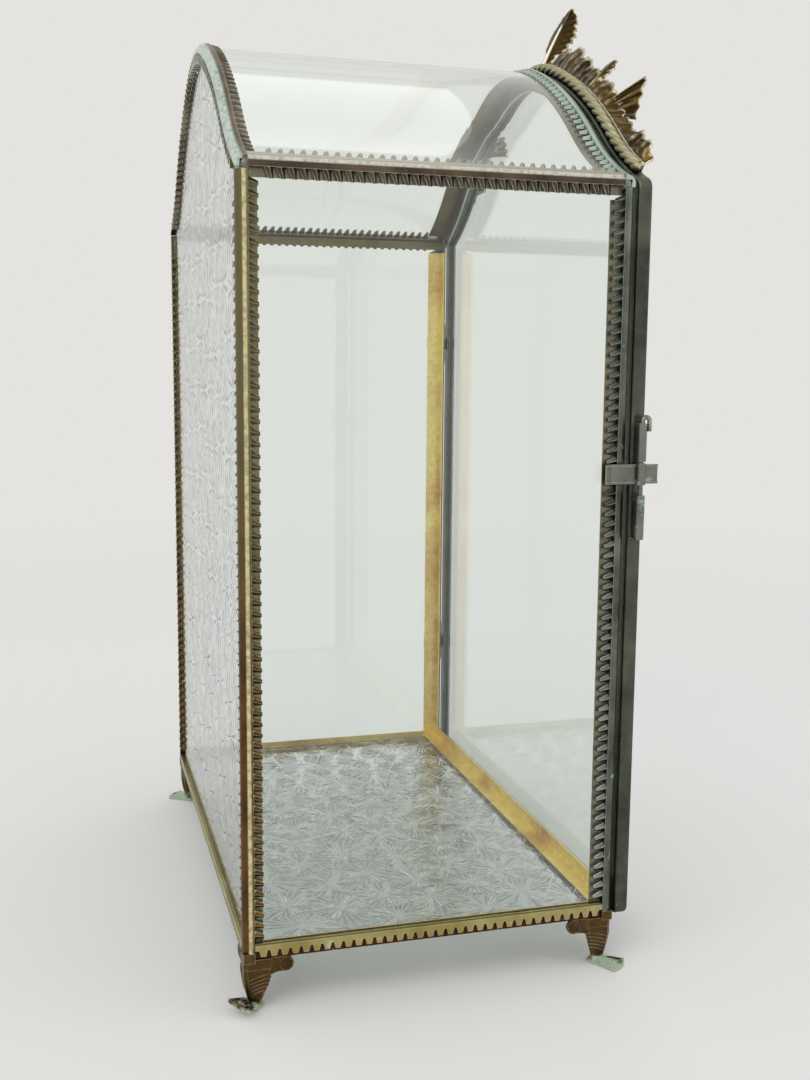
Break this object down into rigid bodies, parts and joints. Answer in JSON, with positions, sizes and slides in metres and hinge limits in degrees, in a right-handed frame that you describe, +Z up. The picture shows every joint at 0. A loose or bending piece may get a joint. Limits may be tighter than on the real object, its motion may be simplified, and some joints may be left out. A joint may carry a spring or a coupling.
{
  "type": "glass display case",
  "caption": "Table-top glass vitrine with an ogee roof, toothed brass edging, pressed star glass back and floor, small feet and an arched hinged door with a leaf crest and a side latch.",
  "frame": {"origin": "on the surface that the feet stand on, under the middle of the overall box", "axes": "+Z up, -Y out of the front where the door is, +X towards the hinged edge"},
  "size_m": [0.2304, 0.1662, 0.367],
  "materials": {
    "clear_glass": "clear polished",
    "pressed_glass": "pressed star relief on one face",
    "gilt_brass": "smooth gilt",
    "edging_brass": "aged, dark with bright worn ridges",
    "door_brass": "smooth, aged",
    "crest_brass": "stamped, dark in the hollows",
    "fitting_brass": "aged with pale verdigris",
    "foot_brass": "stamped, aged"
  },
  "bodies": {
    "case": {"back_pane": "pressed_glass", "base_strip_back": "edging_brass", "base_strip_front": "edging_brass", "base_strip_left": "edging_brass", "base_strip_right": "edging_brass", "corner_post_back_left": "edging_brass", "corner_post_back_right": "edging_brass", "corner_post_front_left": "edging_brass", "corner_post_front_right": "edging_brass", "eave_strip_left": "edging_brass", "eave_strip_right": "edging_brass", "floor_pane": "pressed_glass", "foot_back_left": "foot_brass", "foot_back_right": "foot_brass", "foot_front_left": "foot_brass", "foot_front_right": "foot_brass", "gable_strip_back": "edging_brass", "gable_strip_front": "edging_brass", "hinge_pin_lower": "fitting_brass", "hinge_pin_upper": "fitting_brass", "hinge_strap_lower": "fitting_brass", "hinge_strap_upper": "fitting_brass", "inner_base_back": "gilt_brass", "inner_base_front": "gilt_brass", "inner_base_left": "gilt_brass", "inner_base_right": "gilt_brass", "inner_eave_left": "gilt_brass", "inner_eave_right": "gilt_brass", "inner_gable_back": "gilt_brass", "inner_gable_front": "gilt_brass", "inner_post_back_left": "gilt_brass", "inner_post_back_right": "gilt_brass", "inner_post_front_left": "gilt_brass", "inner_post_front_right": "gilt_brass", "roof_pane": "clear_glass", "side_pane_left": "clear_glass", "side_pane_right": "clear_glass"},
    "door": {"crest_border": "crest_brass", "crest_centre_leaf": "crest_brass", "crest_spray_left": "crest_brass", "crest_spray_right": "crest_brass", "door_arch_rail": "door_brass", "door_bottom_rail": "door_brass", "door_pane": "clear_glass", "door_stile_left": "door_brass", "door_stile_right": "door_brass", "hinge_leaf_lower": "fitting_brass", "hinge_leaf_upper": "fitting_brass", "latch_barrel_lower": "fitting_brass", "latch_barrel_upper": "fitting_brass", "latch_pin": "fitting_brass"},
    "latch": {"latch_arm": "fitting_brass"}
  },
  "joints": [
    {"name": "door_hinge", "type": "hinge", "parent": "case", "child": "door", "pos_m": [0.1115, -0.06273, 0.1518], "axis": [0, 0, 1], "range_deg": [0, 170]},
    {"name": "latch_swing", "type": "hinge", "parent": "door", "child": "latch", "pos_m": [-0.11145, -0.06273, 0.1818], "axis": [0, 0, 1], "range_deg": [0, 22]}
  ]
}
